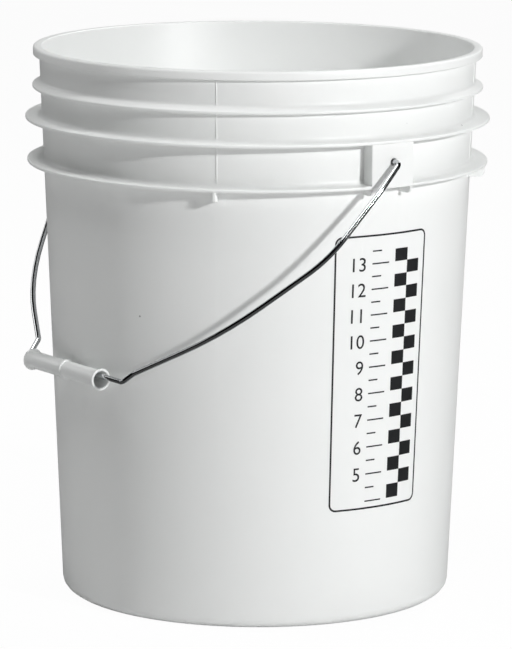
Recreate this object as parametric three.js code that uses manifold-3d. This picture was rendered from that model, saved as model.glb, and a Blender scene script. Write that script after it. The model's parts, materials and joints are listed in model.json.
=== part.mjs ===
// A round tapered pail with moulded flanges and bail ears, its bent wire bail and the loose grip on the bail.
// Millimetres, +Z up. The origin is the middle of what the pail stands on. The ears are at +X and -X,
// and the bail hangs on the -Y side with its grip against the wall.
import * as THREE from "three";
import { mergeVertices } from "three/addons/utils/BufferGeometryUtils.js";
import Module from "manifold-3d";

// Pail wall and base
const pailHeight = 367;
const neckRadius = 145.4; // outside, where the wall meets the rim
const wallDraft = THREE.MathUtils.degToRad(2.4);
const wallThickness = 2.2;
const floorThickness = 2.6;
const floorRise = 4; // the floor panel stands this far above the foot ring
const footWidth = 8;
const footSlope = 3; // run of the slope between foot ring and floor panel
const baseCornerRadius = 7;
const gateRadius = 7; // shallow well that the moulding gate leaves under the floor
const gateDepth = 0.8;

// Rim
const rimHeight = 5.6;
const rimOverhang = 4.1;
const rimRound = 1;

// Lid bead and the two flanges: each drop is from the top of the rim to the underside
const beadDrop = 27.2;
const beadReach = 5.5;
const beadThickness = 1.8;
const beadSlope = 3; // height of the sloping top
const upperFlangeDrop = 48;
const lowerFlangeDrop = 76.8;
const flangeReach = 11.1;
const flangeThickness = 2;
const flangeFillet = 3;

// Ears, gussets and parting lines
const earWidth = 33;
const earWall = 2.3;
const earRoof = 1.5;
const hingeDrop = 60; // from the top of the rim to the hinge axis
const hingeHoleRadius = 2.5;
const gussetThickness = 2.2;
const gussetSetback = 0.7; // inside the flange's edge
const gussetRound = 3.5;
const earGussetDepth = 4.7;
const seamGussetDepth = 6.9;
const seamAngles = [45, 135, 225, 315].map(THREE.MathUtils.degToRad);
const seamWidth = 0.7;
const seamHeight = 0.35;

// Bail: a wire bent in one plane. Drops are distances from the hinge axis
const wireRadius = 1.75;
const bailReach = 203.5; // from the hinge axis to the straight hand run
const bailStandoff = 6.6; // from the ear's face to the wire outside it
const legSpread = 2.2; // how much further out the leg then goes
const legStart = 22;
const legBend = 30;
const shoulderDrop = 80.5; // where the straight leg turns inwards
const shoulderBend = 60;
const waistDrop = 151; // where the slope turns flatter
const waistInset = 44.5; // from the leg
const waistBend = 185;
const smallBend = 4;
const hookLength = 7;
const rightStep = { height: 8, run: 4.5 }; // from the end of the slope down to the hand run
const leftStep = { height: 12.8, run: 3.3 };

// Grip
const gripLength = 85;
const gripRadius = 5.75;
const gripBore = 4.6;
const flareRadius = 7.25;
const flareLength = 7;
const flareBore = 5.7;
const ringRadius = 6.6;
const ringWidth = 3;
const gripSlack = 29; // how much longer the hand run is than the grip
const gripEndPlay = 3.6; // the grip has slid to the left, to this far from the bend
const clearance = 0.3; // between pieces that rest on each other

// Facets
const latheSides = 96;
const wireSides = 10;
const gripSides = 28;
const bendSteps = 5;
const holeSides = 24;
const arcSteps = 2; // for each quarter of a curve in a turned section

// Cuts and joins reach this far past a face; points nearer than the weld are one
const overrun = 1;
const weld = 1e-4;

const wasm = await Module();
wasm.setup();

const rimUnderside = pailHeight - rimHeight;
const wallRadiusAt = (z) => neckRadius - (rimUnderside - z) * Math.tan(wallDraft);
const innerRadiusAt = (z) => wallRadiusAt(z) - wallThickness / Math.cos(wallDraft);
const beadUnderside = pailHeight - beadDrop;
const upperUnderside = pailHeight - upperFlangeDrop;
const lowerUnderside = pailHeight - lowerFlangeDrop;
const flangeRadiusAt = (z) => wallRadiusAt(z) + flangeReach;
const earFace = flangeRadiusAt(lowerUnderside);
const hingeHeight = pailHeight - hingeDrop;

// A manifold solid from a three.js geometry, and back.
function solidFrom(geometry) {
  const bare = geometry.clone();
  bare.deleteAttribute("normal");
  bare.deleteAttribute("uv");
  const merged = mergeVertices(bare, weld);
  return new wasm.Manifold(
    new wasm.Mesh({
      numProp: 3,
      vertProperties: merged.getAttribute("position").array,
      triVerts: new Uint32Array(merged.index.array),
    }),
  );
}

function geometryFrom(solid) {
  const mesh = solid.getMesh();
  const geometry = new THREE.BufferGeometry();
  geometry.setAttribute("position", new THREE.BufferAttribute(mesh.vertProperties, 3));
  geometry.setIndex(new THREE.BufferAttribute(mesh.triVerts, 1));
  geometry.computeVertexNormals();
  return geometry;
}

// A lathe turned about Z from a profile of (radius, height).
function turned(profile, sides) {
  return new THREE.LatheGeometry(profile.getPoints(arcSteps), sides).rotateX(Math.PI / 2);
}

// One flange on the rising outside profile: flat underside, square edge, filleted top.
function addFlange(profile, underside) {
  const top = underside + flangeThickness;
  const edge = flangeRadiusAt(underside);
  const filletTop = top + flangeFillet;
  profile.lineTo(wallRadiusAt(underside), underside);
  profile.lineTo(edge, underside);
  profile.lineTo(edge, top);
  const filletMiddle = wallRadiusAt(filletTop) + flangeFillet;
  profile.absarc(filletMiddle, filletTop, flangeFillet, -Math.PI / 2, -Math.PI, true);
}

function addLidBead(profile) {
  const top = beadUnderside + beadThickness;
  const edge = wallRadiusAt(beadUnderside) + beadReach;
  profile.lineTo(wallRadiusAt(beadUnderside), beadUnderside);
  profile.lineTo(edge, beadUnderside);
  profile.lineTo(edge, top);
  profile.lineTo(wallRadiusAt(top + beadSlope), top + beadSlope);
}

function addRim(profile) {
  const outside = neckRadius + rimOverhang;
  const inside = innerRadiusAt(pailHeight);
  const roundHeight = pailHeight - rimRound;
  profile.lineTo(neckRadius, rimUnderside);
  profile.lineTo(outside, rimUnderside);
  profile.absarc(outside - rimRound, roundHeight, rimRound, 0, Math.PI / 2, false);
  profile.absarc(inside + rimRound, roundHeight, rimRound, Math.PI / 2, Math.PI, false);
}

// The section of the body, up the outside from the middle of the base and back down the inside.
function bodyProfile() {
  const cornerMiddle = wallRadiusAt(baseCornerRadius) - baseCornerRadius / Math.cos(wallDraft);
  const footInside = cornerMiddle - footWidth;
  const panelEdge = footInside - footSlope;
  const insideCorner = baseCornerRadius - wallThickness;
  const profile = new THREE.Path();
  profile.moveTo(0, floorRise + gateDepth);
  profile.lineTo(gateRadius - gateDepth, floorRise + gateDepth);
  profile.lineTo(gateRadius, floorRise);
  profile.lineTo(panelEdge, floorRise);
  profile.lineTo(footInside, 0);
  profile.absarc(cornerMiddle, baseCornerRadius, baseCornerRadius, -Math.PI / 2, -wallDraft, false);
  addFlange(profile, lowerUnderside);
  addFlange(profile, upperUnderside);
  addLidBead(profile);
  addRim(profile);
  const insideCornerHeight = floorThickness + insideCorner;
  const insideMiddle = innerRadiusAt(insideCornerHeight) - insideCorner / Math.cos(wallDraft);
  profile.absarc(insideMiddle, insideCornerHeight, insideCorner, -wallDraft, -Math.PI / 2, true);
  profile.lineTo(footInside - wallThickness / 2, floorThickness);
  profile.lineTo(panelEdge - wallThickness / 2, floorRise + floorThickness);
  profile.lineTo(0, floorRise + floorThickness);
  return profile;
}

// A block between two radii, as wide as given at its outer face, about the +X axis.
function sectorBlock(inner, outer, width, bottom, top) {
  const half = Math.asin(width / 2 / outer);
  const plan = new THREE.Shape();
  plan.absarc(0, 0, outer, -half, half, false);
  plan.absarc(0, 0, inner, half, -half, true);
  const settings = { depth: top - bottom, bevelEnabled: false, curveSegments: bendSteps };
  return new THREE.ExtrudeGeometry(plan, settings).translate(0, 0, bottom);
}

// A flat plate standing radially on the wall, from its outline of (radius, height).
function radialPlate(outline, thickness, angle) {
  const settings = { depth: thickness, bevelEnabled: false, curveSegments: bendSteps };
  return new THREE.ExtrudeGeometry(outline, settings)
    .translate(0, 0, -thickness / 2)
    .rotateX(Math.PI / 2)
    .rotateZ(angle);
}

function gusset(depth, angle) {
  const root = innerRadiusAt(lowerUnderside) + wallThickness / 2;
  const edge = earFace - gussetSetback;
  const top = lowerUnderside + flangeThickness / 2;
  const bottom = lowerUnderside - depth;
  const outline = new THREE.Shape();
  outline.moveTo(root, bottom);
  outline.absarc(edge - gussetRound, bottom + gussetRound, gussetRound, -Math.PI / 2, 0, false);
  outline.lineTo(edge, top);
  outline.lineTo(root, top);
  return radialPlate(outline, gussetThickness, angle);
}

// The raised line where two halves of the mould met, from the lower flange up to the rim.
function partingLine(angle) {
  const bottom = lowerUnderside + flangeThickness / 2;
  const top = rimUnderside + rimHeight / 2;
  const outline = new THREE.Shape();
  outline.moveTo(wallRadiusAt(bottom) - wallThickness / 2, bottom);
  outline.lineTo(wallRadiusAt(bottom) + seamHeight, bottom);
  outline.lineTo(wallRadiusAt(top) + seamHeight, top);
  outline.lineTo(wallRadiusAt(top) - wallThickness / 2, top);
  return radialPlate(outline, seamWidth, angle);
}

// What is added for one ear: its block and the gussets that carry on its side walls below the flange.
function earSolids(side) {
  const root = wallRadiusAt(lowerUnderside) - wallThickness / 4;
  const bottom = lowerUnderside + flangeThickness / 2;
  const block = sectorBlock(root, earFace, earWidth, bottom, upperUnderside + overrun);
  const wallAngle = Math.asin((earWidth - gussetThickness) / 2 / earFace);
  const plates = [-wallAngle, wallAngle].map((angle) => gusset(earGussetDepth, angle));
  return [block, ...plates].map((piece) => solidFrom(piece.rotateZ(side)));
}

// What is cut for one ear: the pocket, open below, and the hole for the wire.
function earCuts(side) {
  const pocketBack = wallRadiusAt(upperUnderside) + clearance;
  const pocketFront = earFace - earWall;
  const pocket = sectorBlock(
    pocketBack,
    pocketFront,
    earWidth - 2 * earWall,
    lowerUnderside - overrun,
    upperUnderside - earRoof,
  );
  const drill = new THREE.CylinderGeometry(hingeHoleRadius, hingeHoleRadius, 3 * earWall, holeSides)
    .rotateZ(Math.PI / 2)
    .translate(earFace - earWall / 2, 0, hingeHeight);
  return [pocket, drill].map((piece) => solidFrom(piece.rotateZ(side)));
}

function pailBody() {
  let body = solidFrom(turned(bodyProfile(), latheSides));
  const sides = [0, Math.PI];
  const seams = seamAngles.flatMap((angle) => [gusset(seamGussetDepth, angle), partingLine(angle)]);
  const added = [...seams.map(solidFrom), ...sides.flatMap(earSolids)];
  for (const piece of added) body = body.add(piece);
  for (const cut of sides.flatMap(earCuts)) body = body.subtract(cut);
  return geometryFrom(body);
}

// A circular arc that leaves start towards corner and reaches end.
class RoundBend extends THREE.Curve {
  constructor(start, corner, end, turn) {
    super();
    this.radius = start.distanceTo(corner) / Math.tan(turn / 2);
    this.forward = corner.clone().sub(start).normalize();
    this.inward = end.clone().sub(corner).projectOnPlane(this.forward).normalize();
    this.start = start;
    this.turn = turn;
  }

  getPoint(share) {
    const angle = share * this.turn;
    return this.start
      .clone()
      .addScaledVector(this.forward, this.radius * Math.sin(angle))
      .addScaledVector(this.inward, this.radius * (1 - Math.cos(angle)));
  }

  getTangent(share) {
    const angle = share * this.turn;
    return this.forward.clone().multiplyScalar(Math.cos(angle)).addScaledVector(this.inward, Math.sin(angle));
  }
}

// A path of straights and round bends, which gives every bend the same number of steps.
class BentWire extends THREE.Curve {
  constructor(corners) {
    super();
    this.stretches = [];
    this.steps = 0;
    let from = corners[0].at;
    for (let i = 1; i < corners.length - 1; i += 1) {
      const { at, bend } = corners[i];
      const back = corners[i - 1].at.clone().sub(at).normalize();
      const on = corners[i + 1].at.clone().sub(at).normalize();
      const turn = Math.PI - back.angleTo(on);
      const reach = bend * Math.tan(turn / 2);
      const start = at.clone().addScaledVector(back, reach);
      const end = at.clone().addScaledVector(on, reach);
      this.addStretch(new THREE.LineCurve3(from, start), 1);
      this.addStretch(new RoundBend(start, at, end, turn), bendSteps);
      from = end;
    }
    this.addStretch(new THREE.LineCurve3(from, corners.at(-1).at), 1);
  }

  addStretch(curve, steps) {
    this.stretches.push({ curve, steps, first: this.steps });
    this.steps += steps;
  }

  locate(share) {
    const step = share * this.steps;
    const stretch = this.stretches.findLast((each) => each.first <= step + weld);
    return [stretch.curve, Math.min((step - stretch.first) / stretch.steps, 1)];
  }

  getPointAt(share) {
    const [curve, along] = this.locate(share);
    return curve.getPoint(along);
  }

  getTangentAt(share) {
    const [curve, along] = this.locate(share);
    return curve.getTangent(along);
  }
}

// One side of the bail, from its hooked end in the ear to the hand run, hanging along -Z.
function bailSide(side, step) {
  const hookMiddle = (earFace - earWall + wallRadiusAt(upperUnderside)) / 2;
  const leg = earFace + bailStandoff + legSpread;
  const runEnd = (gripLength + gripSlack) / 2;
  const corner = (out, drop, bend) => ({ at: new THREE.Vector3(side * out, 0, -drop), bend });
  return [
    corner(hookMiddle, -hookLength, 0),
    corner(hookMiddle, 0, smallBend),
    corner(earFace + bailStandoff, 0, smallBend),
    corner(leg, legStart, legBend),
    corner(leg, shoulderDrop, shoulderBend),
    corner(leg - waistInset, waistDrop, waistBend),
    corner(runEnd + step.run, bailReach - step.height, smallBend),
    corner(runEnd, bailReach, smallBend),
  ];
}

function bailWire() {
  const path = new BentWire([...bailSide(1, rightStep), ...bailSide(-1, leftStep).reverse()]);
  const section = new THREE.Shape().absarc(0, 0, wireRadius, 0, 2 * Math.PI, false);
  const settings = { steps: path.steps, extrudePath: path, curveSegments: wireSides / 2 };
  return new THREE.ExtrudeGeometry(section, settings);
}

// The grip's section, along its outside from the left end and back through the bore, turned about X.
function gripProfile() {
  const end = gripLength / 2;
  const ring = ringWidth / 2;
  const outside = new THREE.Path();
  outside.moveTo(flareBore, -end);
  outside.lineTo(flareRadius, -end);
  outside.quadraticCurveTo(gripRadius, flareLength / 2 - end, gripRadius, flareLength - end);
  outside.lineTo(gripRadius, -ring);
  outside.quadraticCurveTo(ringRadius, -ring, ringRadius, 0);
  outside.quadraticCurveTo(ringRadius, ring, gripRadius, ring);
  outside.lineTo(gripRadius, end - flareLength);
  outside.quadraticCurveTo(gripRadius, end - flareLength / 2, flareRadius, end);
  outside.lineTo(flareBore, end);
  outside.lineTo(gripBore, end - flareLength);
  outside.lineTo(gripBore, flareLength - end);
  outside.lineTo(flareBore, -end);
  return outside;
}

// How far the bail leans out from straight down when the grip lies against the wall.
function restAngle(gripHang) {
  const wall = wallRadiusAt(hingeHeight - gripHang) * Math.cos(wallDraft);
  return Math.asin((wall + ringRadius + clearance) / bailReach) - wallDraft;
}

function part() {
  const polyethylene = new THREE.MeshStandardMaterial({ color: 0xe9ecec, roughness: 0.42, metalness: 0 });
  const steel = new THREE.MeshStandardMaterial({ color: 0xb9bcc0, roughness: 0.25, metalness: 1 });
  const gripPlastic = new THREE.MeshStandardMaterial({ color: 0xe4e6e6, roughness: 0.35, metalness: 0 });

  const body = new THREE.Mesh(pailBody(), polyethylene);
  body.name = "pail_body";

  const wire = new THREE.Mesh(bailWire(), steel);
  wire.name = "bail_wire";

  const gripHang = gripBore - wireRadius - clearance;
  const lean = restAngle(gripHang);
  const grip = new THREE.Mesh(turned(gripProfile(), gripSides).rotateY(Math.PI / 2), gripPlastic);
  grip.name = "hand_grip";
  grip.position.x = gripEndPlay - gripSlack / 2;
  grip.position.y = gripHang * Math.sin(lean);
  grip.position.z = -bailReach - gripHang * Math.cos(lean);

  const bail = new THREE.Group();
  bail.position.z = hingeHeight;
  bail.rotation.x = -lean;
  bail.add(wire, grip);

  const pail = new THREE.Group();
  pail.add(body, bail);
  return pail;
}

export default part();
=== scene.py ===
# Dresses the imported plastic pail: white moulded body, bright wire bail, hand grip and printed fill gauge.
import bpy
import bmesh
import json
from math import asin, cos, degrees, pi, radians, sin, tan
from mathutils import Matrix, Vector


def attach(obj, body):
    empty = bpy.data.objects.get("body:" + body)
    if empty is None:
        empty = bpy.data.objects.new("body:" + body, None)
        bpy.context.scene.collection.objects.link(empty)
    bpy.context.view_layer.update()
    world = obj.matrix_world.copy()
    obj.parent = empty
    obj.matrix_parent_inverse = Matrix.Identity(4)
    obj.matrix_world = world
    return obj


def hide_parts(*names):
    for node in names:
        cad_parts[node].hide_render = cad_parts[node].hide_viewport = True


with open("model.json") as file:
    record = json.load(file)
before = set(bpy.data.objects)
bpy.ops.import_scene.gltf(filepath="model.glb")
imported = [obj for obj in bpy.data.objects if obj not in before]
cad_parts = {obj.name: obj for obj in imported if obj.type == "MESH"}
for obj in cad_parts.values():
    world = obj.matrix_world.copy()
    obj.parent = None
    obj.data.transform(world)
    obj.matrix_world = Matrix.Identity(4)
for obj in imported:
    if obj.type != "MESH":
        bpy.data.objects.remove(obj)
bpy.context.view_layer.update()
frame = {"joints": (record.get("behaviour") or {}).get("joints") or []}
print("frame loaded")

mm = 0.001
litre = 1e6  # in cubic millimetres
tidyDistance = 1e-6
exactDistance = 1e-9
edgeSegments = 2
filletSegments = 4
outlineSegments = 6


# Small helpers

def linear(hexColour):
    channels = [int(hexColour[i:i + 2], 16) / 255 for i in (1, 3, 5)]
    return [c / 12.92 if c <= 0.04045 else ((c + 0.055) / 1.055) ** 2.4 for c in channels] + [1.0]


def addNode(tree, kind, settings=None, links=None, **values):
    # settings are the node's own options, links feed its sockets, and values fill them
    node = tree.nodes.new(kind)
    for key, value in (settings or {}).items():
        setattr(node, key, value)
    for key, value in values.items():
        node.inputs[key.replace("_", " ")].default_value = value
    for key, source in (links or {}).items():
        tree.links.new(source, node.inputs[key])
    return node


def newMaterial(name):
    material = bpy.data.materials.new(name)
    material.use_nodes = True
    material.node_tree.nodes.clear()
    return material, material.node_tree


def objectFrom(bm, name, material):
    mesh = bpy.data.meshes.new(name)
    bm.to_mesh(mesh)
    bm.free()
    piece = bpy.data.objects.new(name, mesh)
    bpy.context.scene.collection.objects.link(piece)
    piece.data.materials.append(material)
    return piece


def smoothBySharpness(mesh, sharpDegrees=32):
    # round faces shade smooth, and edges sharper than this stay crisp
    bm = bmesh.new()
    bm.from_mesh(mesh)
    for face in bm.faces:
        face.smooth = True
    for edge in bm.edges:
        edge.smooth = len(edge.link_faces) == 2 and edge.calc_face_angle() < radians(sharpDegrees)
    bm.to_mesh(mesh)
    bm.free()


def bevel(bm, geom, offset, affect, segments):
    bmesh.ops.bevel(bm, geom=geom, offset=offset, offset_type="OFFSET", affect=affect, segments=segments,
                    profile=0.5, material=-1, clamp_overlap=False)


def roundedProfile(corners):
    # corners are (x, z, fillet radius) in millimetres: the outline of a turned section, in the XZ plane
    bm = bmesh.new()
    verts = [bm.verts.new((x * mm, 0, z * mm)) for x, z, _ in corners]
    for a, b in zip(verts, verts[1:]):
        bm.edges.new((a, b))
    places = [v.co.copy() for v in verts]
    for i in range(1, len(corners) - 1):
        radius = corners[i][2] * mm
        if radius == 0:
            continue
        turn = (places[i] - places[i - 1]).angle(places[i + 1] - places[i])
        bevel(bm, [verts[i]], radius * tan(turn / 2), "VERTICES", filletSegments)
    return bm


def spunSolid(bm, steps):
    # turns an outline once round the Z axis
    bmesh.ops.spin(bm, geom=bm.verts[:] + bm.edges[:], cent=(0, 0, 0), axis=(0, 0, 1), angle=2 * pi,
                   steps=steps, use_merge=True, use_duplicate=False)
    bmesh.ops.remove_doubles(bm, verts=bm.verts, dist=tidyDistance)
    bmesh.ops.dissolve_degenerate(bm, edges=bm.edges, dist=tidyDistance)
    bmesh.ops.recalc_face_normals(bm, faces=bm.faces)
    return bm


# Camera, floor and light. Directions round the pail are given from the camera's side, positive to its right

# distances in metres, angles in degrees, lens and sensor in millimetres
shot = dict(distance=2.7763, height=0.6869, earTurn=34.6, yaw=0.005, pitch=10.39, roll=0.315, lens=232.5,
            sensor=36, clipEnd=20)


def aroundPail(turnFromCamera, elevation, distance):
    turn = radians(turnFromCamera - shot["earTurn"])
    flat = distance * cos(radians(elevation))
    return Vector((flat * cos(turn), flat * sin(turn), distance * sin(radians(elevation))))


def makeCamera():
    camera = bpy.data.objects.new("shotCamera", bpy.data.cameras.new("shotCamera"))
    bpy.context.scene.collection.objects.link(camera)
    camera.data.lens = shot["lens"]
    camera.data.sensor_width = shot["sensor"]
    camera.data.clip_end = shot["clipEnd"]
    place = aroundPail(0, 0, shot["distance"])
    place.z = shot["height"]
    ahead = -aroundPail(shot["yaw"], shot["pitch"], 1)
    turned = ahead.to_track_quat("-Z", "Y").to_matrix() @ Matrix.Rotation(radians(shot["roll"]), 3, "Z")
    camera.matrix_world = Matrix.Translation(place) @ turned.to_4x4()
    bpy.context.scene.camera = camera


studio = dict(
    # each lamp: turn from the camera, elevation, size in metres, watts
    lamps=dict(
        key=(43, 21, 0.18, 36),
        leftHigh=(-60, 72, 1.0, 22),
        frontHigh=(10, 65, 1.2, 4),
        leftLow=(-95, 25, 1.0, 3),
        leftBack=(-130, 20, 1.0, 4.5),
        backRight=(150, 45, 1.2, 21),
    ),
    lampDistance=2.4, world=0.02, glossyWorld=0.005,
    floorColour="#F2F2F2", floorGlow=0.965, floorGlossy="#5A5A5A", floorSize=6, floorDrop=0.4,
)


def makeLights():
    aim = Vector((0, 0, pail["height"] / 2 * mm))
    for name, (turn, elevation, size, watts) in studio["lamps"].items():
        lamp = bpy.data.lights.new(name + "Light", "AREA")
        lamp.shape = "DISK"
        lamp.size = size
        lamp.energy = watts
        holder = bpy.data.objects.new(name + "Light", lamp)
        bpy.context.scene.collection.objects.link(holder)
        place = aim + aroundPail(turn, elevation, studio["lampDistance"])
        aimed = (aim - place).to_track_quat("-Z", "Y").to_matrix().to_4x4()
        holder.matrix_world = Matrix.Translation(place) @ aimed


def makeWorld():
    # a dim room: white only where the camera sees it, and dark in the bright wire's reflections
    world = bpy.data.worlds.new("studio")
    bpy.context.scene.world = world
    world.use_nodes = True
    tree = world.node_tree
    tree.nodes.clear()
    path = addNode(tree, "ShaderNodeLightPath")
    dim = addNode(tree, "ShaderNodeBackground", Color=linear("#FFFFFF"), Strength=studio["world"])
    dark = addNode(tree, "ShaderNodeBackground", Color=linear("#FFFFFF"), Strength=studio["glossyWorld"])
    white = addNode(tree, "ShaderNodeBackground", Color=linear("#FFFFFF"), Strength=1.0)
    room = addNode(tree, "ShaderNodeMixShader", links={0: path.outputs["Is Glossy Ray"], 1: dim.outputs[0],
                                                       2: dark.outputs[0]})
    seen = addNode(tree, "ShaderNodeMixShader", links={0: path.outputs["Is Camera Ray"], 1: room.outputs[0],
                                                       2: white.outputs[0]})
    addNode(tree, "ShaderNodeOutputWorld", links={"Surface": seen.outputs[0]})


def makeFloor():
    # white paper that the camera sees nearly evenly white, with the pail's shadow left faintly on it
    material, tree = newMaterial("paperFloor")
    path = addNode(tree, "ShaderNodeLightPath")
    paper = addNode(tree, "ShaderNodeBsdfDiffuse", Color=linear(studio["floorColour"]))
    glow = addNode(tree, "ShaderNodeEmission", Color=linear("#FFFFFF"), Strength=1.0)
    share = addNode(tree, "ShaderNodeMath", {"operation": "MULTIPLY"}, {0: path.outputs["Is Camera Ray"]})
    share.inputs[1].default_value = studio["floorGlow"]
    mix = addNode(tree, "ShaderNodeMixShader", links={0: share.outputs[0], 1: paper.outputs[0],
                                                      2: glow.outputs[0]})
    dull = addNode(tree, "ShaderNodeBsdfDiffuse", Color=linear(studio["floorGlossy"]))
    seen = addNode(tree, "ShaderNodeMixShader", links={0: path.outputs["Is Glossy Ray"], 1: mix.outputs[0],
                                                       2: dull.outputs[0]})
    addNode(tree, "ShaderNodeOutputMaterial", links={"Surface": seen.outputs[0]})
    bm = bmesh.new()
    bmesh.ops.create_grid(bm, x_segments=1, y_segments=1, size=studio["floorSize"])
    bmesh.ops.translate(bm, verts=bm.verts, vec=(0, 0, -studio["floorDrop"] * mm))
    objectFrom(bm, "floor", material)


# White pail moulding: injection-moulded high-density polyethylene, waxy white with a satin mould finish

pail = dict(
    # turned profile
    height=367, neckRadius=145.4, draft=radians(2.4), wall=2.2, floor=2.6, floorRise=4, footWidth=8,
    footSlope=3, baseCorner=7, gateRadius=7, gateDepth=0.8, rimHeight=5.6, rimOverhang=4.1, rimRound=1.3,
    beadDrop=27.2, beadReach=5.5, beadThickness=1.8, beadSlope=3,
    flangeDrops=(76.8, 48), flangeReach=11.1, flangeThickness=2, flangeFillet=3, tipRound=0.6, steps=288,
    tightFillet=0.4, panelFillet=1.5, beadRound=0.9, beadFillet=2.5, rimUnderRound=0.5, rimInsideRound=1.0,
    floorFillet=2,
    # ears with their pockets and hinge holes
    earWidth=33, earWall=2.3, earRoof=1.5, earRound=0.8, earSteps=12, earOverlap=0.6, pocketGap=0.3,
    pocketMouth=1, hingeDrop=60, holeRadius=2.5, holeSides=48,
    # gussets and parting lines
    gussetThickness=2.2, gussetSetback=0.7, gussetRound=3.5, gussetEdge=0.3, earGussetDepth=4.7,
    seamGussetDepth=6.9, seamTurns=(45, 135, 225, 315), seamWidth=0.7, seamHeight=0.35, seamEdge=0.15,
)


def wallRadius(z):
    return pail["neckRadius"] - (pail["height"] - pail["rimHeight"] - z) * tan(pail["draft"])


def insideRadius(z):
    return wallRadius(z) - pail["wall"] / cos(pail["draft"])


def flangeCorners(underside):
    # flat below, two rounded tips, and a deep fillet where the top meets the wall
    top = underside + pail["flangeThickness"]
    edge = wallRadius(underside) + pail["flangeReach"]
    return [(wallRadius(underside), underside, pail["tightFillet"]), (edge, underside, pail["tipRound"]),
            (edge, top, pail["tipRound"]), (wallRadius(top), top, pail["flangeFillet"])]


def pailCorners():
    # from the middle of the underside out and up the wall, over the rim, and down inside to the middle
    p = pail
    tight = p["tightFillet"]
    gateTop = p["floorRise"] + p["gateDepth"]
    footInside = wallRadius(p["baseCorner"]) - p["baseCorner"] - p["footWidth"]
    panelEdge = footInside - p["footSlope"]
    corners = [(0, gateTop, 0), (p["gateRadius"] - p["gateDepth"], gateTop, tight),
               (p["gateRadius"], p["floorRise"], tight), (panelEdge, p["floorRise"], p["panelFillet"]),
               (footInside, 0, p["panelFillet"]), (wallRadius(0), 0, p["baseCorner"])]
    for drop in p["flangeDrops"]:
        corners += flangeCorners(p["height"] - drop)
    bead = p["height"] - p["beadDrop"]
    beadTop = bead + p["beadThickness"]
    beadRoot = beadTop + p["beadSlope"]
    beadEdge = wallRadius(bead) + p["beadReach"]
    corners += [(wallRadius(bead), bead, tight), (beadEdge, bead, p["tipRound"]),
                (beadEdge, beadTop, p["beadRound"]), (wallRadius(beadRoot), beadRoot, p["beadFillet"])]
    rimUnderside = p["height"] - p["rimHeight"]
    rimEdge = p["neckRadius"] + p["rimOverhang"]
    corners += [(p["neckRadius"], rimUnderside, tight), (rimEdge, rimUnderside, p["rimUnderRound"]),
                (rimEdge, p["height"], p["rimRound"]),
                (insideRadius(p["height"]), p["height"], p["rimInsideRound"])]
    inset = p["wall"] / 2
    floorTop = p["floorRise"] + p["floor"]
    corners += [(insideRadius(p["floor"]), p["floor"], p["baseCorner"] - p["wall"]),
                (footInside - inset, p["floor"], p["floorFillet"]),
                (panelEdge - inset, floorTop, p["floorFillet"]), (0, floorTop, 0)]
    return corners


def sectorBlock(inner, outer, width, bottom, top, rounding):
    # a block between two radii about +X: one wall section, spun through the block's width
    half = asin(width / 2 / outer)
    bm = bmesh.new()
    corners = [(inner, bottom), (outer, bottom), (outer, top), (inner, top)]
    section = [bm.verts.new((r * mm, 0, z * mm)) for r, z in corners]
    face = bm.faces.new(section)
    bmesh.ops.rotate(bm, verts=section, cent=(0, 0, 0), matrix=Matrix.Rotation(-half, 3, "Z"))
    bmesh.ops.spin(bm, geom=[face], cent=(0, 0, 0), axis=(0, 0, 1), angle=2 * half,
                   steps=pail["earSteps"], use_merge=False, use_duplicate=False)
    bmesh.ops.recalc_face_normals(bm, faces=bm.faces)
    if rounding:
        # only the two upright corners of the outer face
        front = (inner + outer) / 2 * mm
        upright = [e for e in bm.edges if abs(e.verts[0].co.z - e.verts[1].co.z) > tidyDistance
                   and min(v.co.xy.length for v in e.verts) > front and e.calc_face_angle() > radians(45)]
        bevel(bm, upright, rounding * mm, "EDGES", filletSegments)
    return bm


def radialPlate(corners, thickness, rounding):
    # a flat plate standing out from the wall, from its rounded outline of (radius, height, fillet)
    bm = bmesh.new()
    verts = [bm.verts.new((x * mm, thickness / 2 * mm, z * mm)) for x, z, _ in corners]
    bm.faces.new(verts)
    for vert, (_, _, fillet) in zip(verts, corners):
        if fillet:
            bevel(bm, [vert], fillet * mm, "VERTICES", outlineSegments)
    sheet = bmesh.ops.extrude_face_region(bm, geom=bm.faces[:])
    moved = [g for g in sheet["geom"] if isinstance(g, bmesh.types.BMVert)]
    bmesh.ops.translate(bm, verts=moved, vec=(0, -thickness * mm, 0))
    bmesh.ops.recalc_face_normals(bm, faces=bm.faces)
    rims = [e for e in bm.edges if abs(e.verts[0].co.y - e.verts[1].co.y) < tidyDistance]
    bevel(bm, rims, rounding * mm, "EDGES", edgeSegments)
    return bm


def gusset(depth):
    lower = pail["height"] - pail["flangeDrops"][0]
    edge = wallRadius(lower) + pail["flangeReach"] - pail["gussetSetback"]
    root = wallRadius(lower) - pail["wall"] / 2
    top = lower + pail["flangeThickness"] / 2
    return radialPlate([(root, lower - depth, 0), (edge, lower - depth, pail["gussetRound"]), (edge, top, 0),
                        (root, top, 0)], pail["gussetThickness"], pail["gussetEdge"])


def partingLine():
    bottom = pail["height"] - pail["flangeDrops"][0] + pail["flangeThickness"] / 2
    top = pail["height"] - pail["rimHeight"] / 2
    inside = pail["wall"] / 2
    proud = pail["seamHeight"]
    return radialPlate([(wallRadius(bottom) - inside, bottom, 0), (wallRadius(bottom) + proud, bottom, 0),
                        (wallRadius(top) + proud, top, 0), (wallRadius(top) - inside, top, 0)],
                       pail["seamWidth"], pail["seamEdge"])


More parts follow.
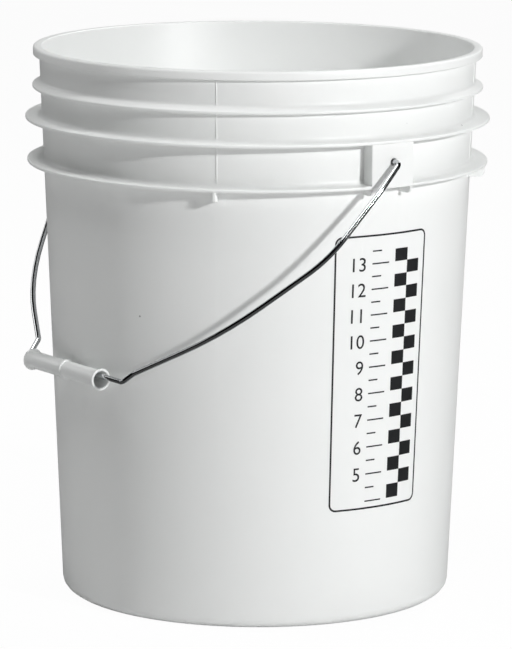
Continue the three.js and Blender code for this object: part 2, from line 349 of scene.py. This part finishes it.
def gather(parts):
    # puts turned copies of several solids in one mesh, as (solid, turn in degrees)
    whole = bmesh.new()
    for bm, turn in parts:
        bmesh.ops.rotate(bm, verts=bm.verts, cent=(0, 0, 0), matrix=Matrix.Rotation(radians(turn), 3, "Z"))
        passing = bpy.data.meshes.new("passing")
        bm.to_mesh(passing)
        bm.free()
        whole.from_mesh(passing)
        bpy.data.meshes.remove(passing)
    return whole


def combine(piece, bm, operation):
    # joins or cuts with the exact solver, then keeps the result as plain mesh
    tool = objectFrom(bm, "tool", piece.data.materials[0])
    change = piece.modifiers.new("combine", "BOOLEAN")
    change.operation = operation
    change.solver = "EXACT"
    change.use_self = True
    change.object = tool
    result = bpy.data.meshes.new_from_object(piece.evaluated_get(bpy.context.evaluated_depsgraph_get()))
    piece.modifiers.clear()
    piece.data = result
    bpy.data.objects.remove(tool)


def makePail(material):
    p = pail
    lower, upper = (p["height"] - drop for drop in p["flangeDrops"])
    earFace = wallRadius(lower) + p["flangeReach"]
    earRoot = wallRadius(lower) - p["wall"] / 4
    earBottom = lower + p["flangeThickness"] / 2
    pocketRoot = wallRadius(upper) + p["pocketGap"]
    pocketWidth = p["earWidth"] - 2 * p["earWall"]
    holePlace = ((earFace - p["earWall"] / 2) * mm, 0, (p["height"] - p["hingeDrop"]) * mm)
    # the hole's cutter stands out of the ear's wall by one wall at each end
    holeDepth = 3 * p["earWall"] * mm
    piece = objectFrom(spunSolid(roundedProfile(pailCorners()), p["steps"]), "pail_moulding", material)
    gussetTurn = degrees(asin((p["earWidth"] - p["gussetThickness"]) / 2 / earFace))
    added = []
    cuts = []
    for side in (0, 180):
        ear = sectorBlock(earRoot, earFace, p["earWidth"], earBottom, upper + p["earOverlap"], p["earRound"])
        added.append((ear, side))
        added += [(gusset(p["earGussetDepth"]), side + turn) for turn in (-gussetTurn, gussetTurn)]
        pocket = sectorBlock(pocketRoot, earFace - p["earWall"], pocketWidth, lower - p["pocketMouth"],
                             upper - p["earRoof"], 0)
        cuts.append((pocket, side))
        hole = bmesh.new()
        bmesh.ops.create_cone(hole, cap_ends=True, segments=p["holeSides"], radius1=p["holeRadius"] * mm,
                              radius2=p["holeRadius"] * mm, depth=holeDepth)
        bmesh.ops.rotate(hole, verts=hole.verts, cent=(0, 0, 0), matrix=Matrix.Rotation(pi / 2, 3, "Y"))
        bmesh.ops.translate(hole, verts=hole.verts, vec=holePlace)
        cuts.append((hole, side))
    for turn in p["seamTurns"]:
        added += [(gusset(p["seamGussetDepth"]), turn), (partingLine(), turn)]
    combine(piece, gather(added), "UNION")
    combine(piece, gather(cuts), "DIFFERENCE")
    smoothBySharpness(piece.data)
    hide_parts("pail_body")
    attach(piece, "pail")
    print("pail moulded,", len(piece.data.polygons), "faces")


def hdpeMoulded():
    # high-density polyethylene, injection moulded: waxy, slightly translucent white with faint drag lines
    # and sparse specks, each full to about 0.4 mm from its middle and gone at about 0.8 mm
    material, tree = newMaterial("hdpeMoulded")
    place = addNode(tree, "ShaderNodeTexCoord").outputs["Object"]
    cloud = addNode(tree, "ShaderNodeTexNoise", links={"Vector": place}, Scale=1 / 0.045, Detail=3.0)
    tone = addNode(tree, "ShaderNodeMix", {"data_type": "RGBA"}, {"Factor": cloud.outputs["Fac"]},
                   A=linear("#EEF0EF"), B=linear("#F2F3F2"))
    cells = addNode(tree, "ShaderNodeTexVoronoi", links={"Vector": place}, Scale=1 / 0.030)
    speck = addNode(tree, "ShaderNodeMapRange", links={"Value": cells.outputs["Distance"]},
                    From_Min=0.014, From_Max=0.026, To_Min=1.0, To_Max=0.0)
    dirty = addNode(tree, "ShaderNodeMix", {"data_type": "RGBA"},
                    {"Factor": speck.outputs["Result"], "A": tone.outputs["Result"]}, B=linear("#8A8C8C"))
    drawn = addNode(tree, "ShaderNodeMapping", links={"Vector": place},
                    Scale=(1 / 0.0012, 1 / 0.0012, 1 / 0.12))
    drag = addNode(tree, "ShaderNodeTexNoise", links={"Vector": drawn.outputs[0]}, Scale=1.0, Detail=2.0)
    grain = addNode(tree, "ShaderNodeTexNoise", links={"Vector": place}, Scale=1 / 0.0014, Detail=2.0)
    gloss = addNode(tree, "ShaderNodeMapRange", links={"Value": cloud.outputs["Fac"]},
                    To_Min=0.38, To_Max=0.48)
    lines = addNode(tree, "ShaderNodeBump", links={"Height": drag.outputs["Fac"]},
                    Strength=0.10, Distance=0.0001)
    skin = addNode(tree, "ShaderNodeBump", links={"Height": grain.outputs["Fac"], "Normal": lines.outputs[0]},
                   Strength=0.12, Distance=0.0001)
    shader = addNode(tree, "ShaderNodeBsdfPrincipled", links={
        "Base Color": dirty.outputs["Result"], "Roughness": gloss.outputs["Result"],
        "Normal": skin.outputs[0]},
        IOR=1.54, Subsurface_Weight=0.10, Subsurface_Scale=0.003, Subsurface_Radius=(1.0, 1.0, 1.0))
    addNode(tree, "ShaderNodeOutputMaterial", links={"Surface": shader.outputs[0]})
    return material


# Bail: one bright drawn steel wire, bent cold, so its skin stays smooth and even round the bends

bail = dict(
    wireRadius=1.75, reach=203.5, standoff=6.6, legSpread=2.2, legStart=22, legBend=30, shoulderDrop=80.5,
    shoulderBend=60, waistDrop=151, waistInset=44.5, waistBend=185, smallBend=4, hookLength=7, runHalf=57,
    rightStep=(8, 4.5), leftStep=(12.8, 3.3), endRound=0.35, sides=28,
    # bendSteps are for a quarter turn
    bendSteps=14, extraSteps=2, fewestSteps=3, sharpDegrees=40,
)


def bailSide(side, step):
    # corners of one side as (point in the bail's own plane, bend radius), hanging along -Z
    b = bail
    lower, upper = (pail["height"] - drop for drop in pail["flangeDrops"])
    earFace = wallRadius(lower) + pail["flangeReach"]
    pocketFront = earFace - pail["earWall"]
    hook = (pocketFront + wallRadius(upper)) / 2
    leg = earFace + b["standoff"] + b["legSpread"]
    plan = [(hook, -b["hookLength"], 0), (hook, 0, b["smallBend"]),
            (earFace + b["standoff"], 0, b["smallBend"]),
            (leg, b["legStart"], b["legBend"]), (leg, b["shoulderDrop"], b["shoulderBend"]),
            (leg - b["waistInset"], b["waistDrop"], b["waistBend"]),
            (b["runHalf"] + step[1], b["reach"] - step[0], b["smallBend"]),
            (b["runHalf"], b["reach"], b["smallBend"])]
    return [(Vector((side * out * mm, 0, -drop * mm)), bend * mm) for out, drop, bend in plan]


def bendWire(corners):
    # pushes a round section along the straights and swings it round each bend
    bm = bmesh.new()
    ring = bmesh.ops.create_circle(bm, cap_ends=False, segments=bail["sides"],
                                   radius=bail["wireRadius"] * mm)["verts"]
    start = corners[0][0]
    ahead = (corners[1][0] - start).normalized()
    aim = ahead.to_track_quat("Z", "Y").to_matrix()
    bmesh.ops.rotate(bm, verts=ring, cent=(0, 0, 0), matrix=aim)
    bmesh.ops.translate(bm, verts=ring, vec=start)
    edges = bm.edges[:]
    here = start
    for i in range(1, len(corners)):
        corner, bend = corners[i]
        ahead = (corner - corners[i - 1][0]).normalized()
        turn = 0
        if bend:
            onward = (corners[i + 1][0] - corner).normalized()
            turn = ahead.angle(onward)
        stop = corner - ahead * bend * tan(turn / 2)
        pushed = bmesh.ops.extrude_edge_only(bm, edges=edges)["geom"]
        moved = [g for g in pushed if isinstance(g, bmesh.types.BMVert)]
        edges = [g for g in pushed if isinstance(g, bmesh.types.BMEdge)]
        bmesh.ops.translate(bm, verts=moved, vec=stop - here)
        here = stop
        if bend:
            axis = ahead.cross(onward).normalized()
            centre = stop + axis.cross(ahead) * bend
            steps = round(bail["bendSteps"] * turn / (pi / 2)) + bail["extraSteps"]
            steps = max(bail["fewestSteps"], steps)
            swung = bmesh.ops.spin(bm, geom=moved + edges, cent=centre, axis=axis, angle=turn, steps=steps,
                                   use_merge=False, use_duplicate=False)["geom_last"]
            edges = [g for g in swung if isinstance(g, bmesh.types.BMEdge)]
            here = corner + onward * bend * tan(turn / 2)
    bmesh.ops.remove_doubles(bm, verts=bm.verts, dist=tidyDistance)
    caps = bmesh.ops.holes_fill(bm, edges=bm.edges)["faces"]
    rims = [e for face in caps for e in face.edges]
    bevel(bm, rims, bail["endRound"] * mm, "EDGES", edgeSegments)
    bmesh.ops.recalc_face_normals(bm, faces=bm.faces)
    return bm


def jointPlace(name):
    found = [j for j in frame["joints"] if j["name"] == name]
    return Vector(found[0]["pos_m"])


def makeBail(material):
    bm = bendWire(bailSide(1, bail["rightStep"]) + bailSide(-1, bail["leftStep"])[::-1])
    hinge = jointPlace("bail_swing")
    grip = jointPlace("grip_spin")
    lean = asin(-grip.y / (bail["reach"] * mm))
    bmesh.ops.rotate(bm, verts=bm.verts, cent=(0, 0, 0), matrix=Matrix.Rotation(-lean, 3, "X"))
    bmesh.ops.translate(bm, verts=bm.verts, vec=hinge)
    piece = objectFrom(bm, "bail_bright_wire", material)
    smoothBySharpness(piece.data, bail["sharpDegrees"])
    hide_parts("bail_wire")
    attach(piece, "bail")
    print("bail bent,", len(piece.data.polygons), "faces")


def steelWire():
    # bright basic steel wire, cold drawn and bent: a mirror-like skin with faint haze and tiny nicks
    material, tree = newMaterial("steelWireDrawn")
    place = addNode(tree, "ShaderNodeTexCoord").outputs["Object"]
    haze = addNode(tree, "ShaderNodeTexNoise", links={"Vector": place}, Scale=1 / 0.012, Detail=4.0)
    tone = addNode(tree, "ShaderNodeMix", {"data_type": "RGBA"}, {"Factor": haze.outputs["Fac"]},
                   A=linear("#B9BBBD"), B=linear("#D2D4D6"))
    gloss = addNode(tree, "ShaderNodeMapRange", links={"Value": haze.outputs["Fac"]},
                    To_Min=0.07, To_Max=0.14)
    nicks = addNode(tree, "ShaderNodeTexNoise", links={"Vector": place}, Scale=1 / 0.0015, Detail=2.0)
    skin = addNode(tree, "ShaderNodeBump", links={"Height": nicks.outputs["Fac"]},
                   Strength=0.15, Distance=0.0001)
    shader = addNode(tree, "ShaderNodeBsdfPrincipled", links={
        "Base Color": tone.outputs["Result"], "Roughness": gloss.outputs["Result"],
        "Normal": skin.outputs[0]},
        Metallic=1.0)
    addNode(tree, "ShaderNodeOutputMaterial", links={"Surface": shader.outputs[0]})
    return material


# Hand grip: a thin injection-moulded tube, smooth off-white plastic

grip = dict(
    length=85, radius=5.75, bore=4.6, flareRadius=7.25, flareLength=7, flareBore=5.7, flareFillet=12,
    ringRadius=6.6, ringWidth=3, ringFillet=0.3, ringRound=0.6, lip=1.2, lipDepth=0.4, lipFillet=0.8,
    lipRound=0.4, endRound=0.5, boreRound=0.4, boreFillet=3, steps=72,
)


def makeGrip(material):
    g = grip
    end = g["length"] / 2
    ring = g["ringWidth"] / 2
    flareStart = end - g["flareLength"]
    # one half, from the ring at mid-length out to the end and back through the bore
    half = [(g["ringRadius"], ring, g["ringRound"]), (g["radius"], ring, g["ringFillet"]),
            (g["radius"], flareStart, g["flareFillet"]),
            (g["flareRadius"] - g["lipDepth"], end - g["lip"], g["lipFillet"]),
            (g["flareRadius"], end - g["lip"] / 2, g["lipRound"]), (g["flareRadius"], end, g["endRound"]),
            (g["flareBore"], end, g["boreRound"]), (g["bore"], flareStart, g["boreFillet"])]
    mirrored = [(x, -z, fillet) for x, z, fillet in half[::-1]]
    middle = (g["bore"], 0, 0)
    bm = spunSolid(roundedProfile([middle] + mirrored + half + [middle]), g["steps"])
    bmesh.ops.rotate(bm, verts=bm.verts, cent=(0, 0, 0), matrix=Matrix.Rotation(pi / 2, 3, "Y"))
    bmesh.ops.translate(bm, verts=bm.verts, vec=jointPlace("grip_spin"))
    piece = objectFrom(bm, "grip_tube", material)
    smoothBySharpness(piece.data)
    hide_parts("hand_grip")
    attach(piece, "grip")
    print("grip turned,", len(piece.data.polygons), "faces")


def gripPlastic():
    # polypropylene, injection moulded: smoother and a little glossier than the pail
    material, tree = newMaterial("polypropyleneMoulded")
    place = addNode(tree, "ShaderNodeTexCoord").outputs["Object"]
    cloud = addNode(tree, "ShaderNodeTexNoise", links={"Vector": place}, Scale=1 / 0.010, Detail=3.0)
    tone = addNode(tree, "ShaderNodeMix", {"data_type": "RGBA"}, {"Factor": cloud.outputs["Fac"]},
                   A=linear("#E6E8E7"), B=linear("#EEF0EF"))
    gloss = addNode(tree, "ShaderNodeMapRange", links={"Value": cloud.outputs["Fac"]},
                    To_Min=0.26, To_Max=0.36)
    grain = addNode(tree, "ShaderNodeTexNoise", links={"Vector": place}, Scale=1 / 0.0010, Detail=2.0)
    skin = addNode(tree, "ShaderNodeBump", links={"Height": grain.outputs["Fac"]},
                   Strength=0.10, Distance=0.0001)
    shader = addNode(tree, "ShaderNodeBsdfPrincipled", links={
        "Base Color": tone.outputs["Result"], "Roughness": gloss.outputs["Result"],
        "Normal": skin.outputs[0]},
        IOR=1.49, Subsurface_Weight=0.10, Subsurface_Scale=0.002, Subsurface_Radius=(1.0, 1.0, 1.0))
    addNode(tree, "ShaderNodeOutputMaterial", links={"Surface": shader.outputs[0]})
    return material


# Fill gauge: black screen ink on the wall, with litre levels worked out from the inside of the pail

gauge = dict(
    turn=1.2, bottom=76.8, top=258.8, width=72, corner=5, line=1.2, lift=0.07, sink=0.05, cut=2.4,
    firstLitre=4, lastLitre=13.5, litreStep=0.5, numberHeight=9, longTick=13, shortTick=7, tickLine=0.9,
    numberRight=-13, tickLeft=-9, staffLeft=9, staffWidth=21,
)


def levelOf(litres):
    # height of the liquid in the tapered inside, above what the pail stands on
    floorTop = pail["floorRise"] + pail["floor"]
    start = insideRadius(floorTop)
    slope = tan(pail["draft"])
    radius = (start ** 3 + 3 * litres * litre * slope / pi) ** (1 / 3)
    return floorTop + (radius - start) / slope


def addBar(bm, left, right, bottom, top):
    verts = [bm.verts.new((x * mm, y * mm, 0)) for x, y in
             ((left, bottom), (right, bottom), (right, top), (left, top))]
    return bm.faces.new(verts)


def addNumber(bm, text, right, middle):
    curve = bpy.data.curves.new("number", "FONT")
    curve.body = text
    curve.align_x = "RIGHT"
    curve.size = 1
    holder = bpy.data.objects.new("number", curve)
    bpy.context.scene.collection.objects.link(holder)
    flat = bpy.data.meshes.new_from_object(holder.evaluated_get(bpy.context.evaluated_depsgraph_get()))
    low = min(v.co.y for v in flat.vertices)
    high = max(v.co.y for v in flat.vertices)
    scale = gauge["numberHeight"] * mm / (high - low)
    flat.transform(Matrix.Translation((right * mm, middle * mm - (high + low) / 2 * scale, 0))
                   @ Matrix.Scale(scale, 4))
    bm.from_mesh(flat)
    bpy.data.objects.remove(holder)


def makeGauge(material):
    g = gauge
    bm = bmesh.new()
    half = g["width"] / 2
    panel = addBar(bm, -half, half, g["bottom"], g["top"])
    bevel(bm, panel.verts[:], g["corner"] * mm, "VERTICES", outlineSegments)
    panel = bm.faces[:]
    bmesh.ops.inset_region(bm, faces=panel, thickness=g["line"] * mm, use_even_offset=True, use_boundary=True)
    bmesh.ops.delete(bm, geom=panel, context="FACES")
    litres = g["firstLitre"]
    while litres <= g["lastLitre"]:
        level = levelOf(litres)
        whole = litres == int(litres)
        tick = g["longTick"] if whole else g["shortTick"]
        addBar(bm, g["tickLeft"], g["tickLeft"] + tick, level - g["tickLine"] / 2, level + g["tickLine"] / 2)
        if whole and litres > g["firstLitre"]:
            addNumber(bm, str(int(litres)), g["numberRight"], level)
        if litres + g["litreStep"] <= g["lastLitre"]:
            side = g["staffLeft"] if whole else g["staffLeft"] + g["staffWidth"] / 2
            addBar(bm, side, side + g["staffWidth"] / 2, level, levelOf(litres + g["litreStep"]))
        litres += g["litreStep"]
    # upright cuts let the flat print bend round the wall
    for i in range(1, int(g["width"] / g["cut"])):
        bmesh.ops.bisect_plane(bm, geom=bm.verts[:] + bm.edges[:] + bm.faces[:], dist=exactDistance,
                               plane_co=((i * g["cut"] - half) * mm, 0, 0), plane_no=(1, 0, 0))
    bmesh.ops.triangulate(bm, faces=[f for f in bm.faces if len(f.verts) > 4])
    sheet = bmesh.ops.extrude_face_region(bm, geom=bm.faces[:])
    raised = [v for v in sheet["geom"] if isinstance(v, bmesh.types.BMVert)]
    bmesh.ops.translate(bm, verts=raised, vec=(0, 0, (g["lift"] + g["sink"]) * mm))
    middleRadius = wallRadius((g["bottom"] + g["top"]) / 2) * mm
    for vert in bm.verts:
        z = vert.co.y
        proud = vert.co.z - g["sink"] * mm
        turn = radians(g["turn"]) + vert.co.x / middleRadius
        out = wallRadius(z / mm) * mm + proud
        vert.co = (out * cos(turn), out * sin(turn), z)
    bmesh.ops.recalc_face_normals(bm, faces=bm.faces)
    piece = objectFrom(bm, "fill_gauge_print", material)
    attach(piece, "pail")
    print("gauge printed,", len(piece.data.polygons), "faces")


def screenInk():
    # solvent screen ink on plastic: dense satin black with a faintly uneven film
    material, tree = newMaterial("screenInkBlack")
    place = addNode(tree, "ShaderNodeTexCoord").outputs["Object"]
    film = addNode(tree, "ShaderNodeTexNoise", links={"Vector": place}, Scale=1 / 0.004, Detail=3.0)
    tone = addNode(tree, "ShaderNodeMix", {"data_type": "RGBA"}, {"Factor": film.outputs["Fac"]},
                   A=linear("#141516"), B=linear("#222426"))
    gloss = addNode(tree, "ShaderNodeMapRange", links={"Value": film.outputs["Fac"]},
                    To_Min=0.42, To_Max=0.56)
    skin = addNode(tree, "ShaderNodeBump", links={"Height": film.outputs["Fac"]},
                   Strength=0.1, Distance=0.0001)
    shader = addNode(tree, "ShaderNodeBsdfPrincipled", links={
        "Base Color": tone.outputs["Result"], "Roughness": gloss.outputs["Result"],
        "Normal": skin.outputs[0]})
    addNode(tree, "ShaderNodeOutputMaterial", links={"Surface": shader.outputs[0]})
    return material


bpy.context.scene.view_settings.view_transform = "Standard"
makeCamera()
makeWorld()
makeFloor()
makeLights()
print("studio set")
makePail(hdpeMoulded())
makeGauge(screenInk())
makeBail(steelWire())
makeGrip(gripPlastic())
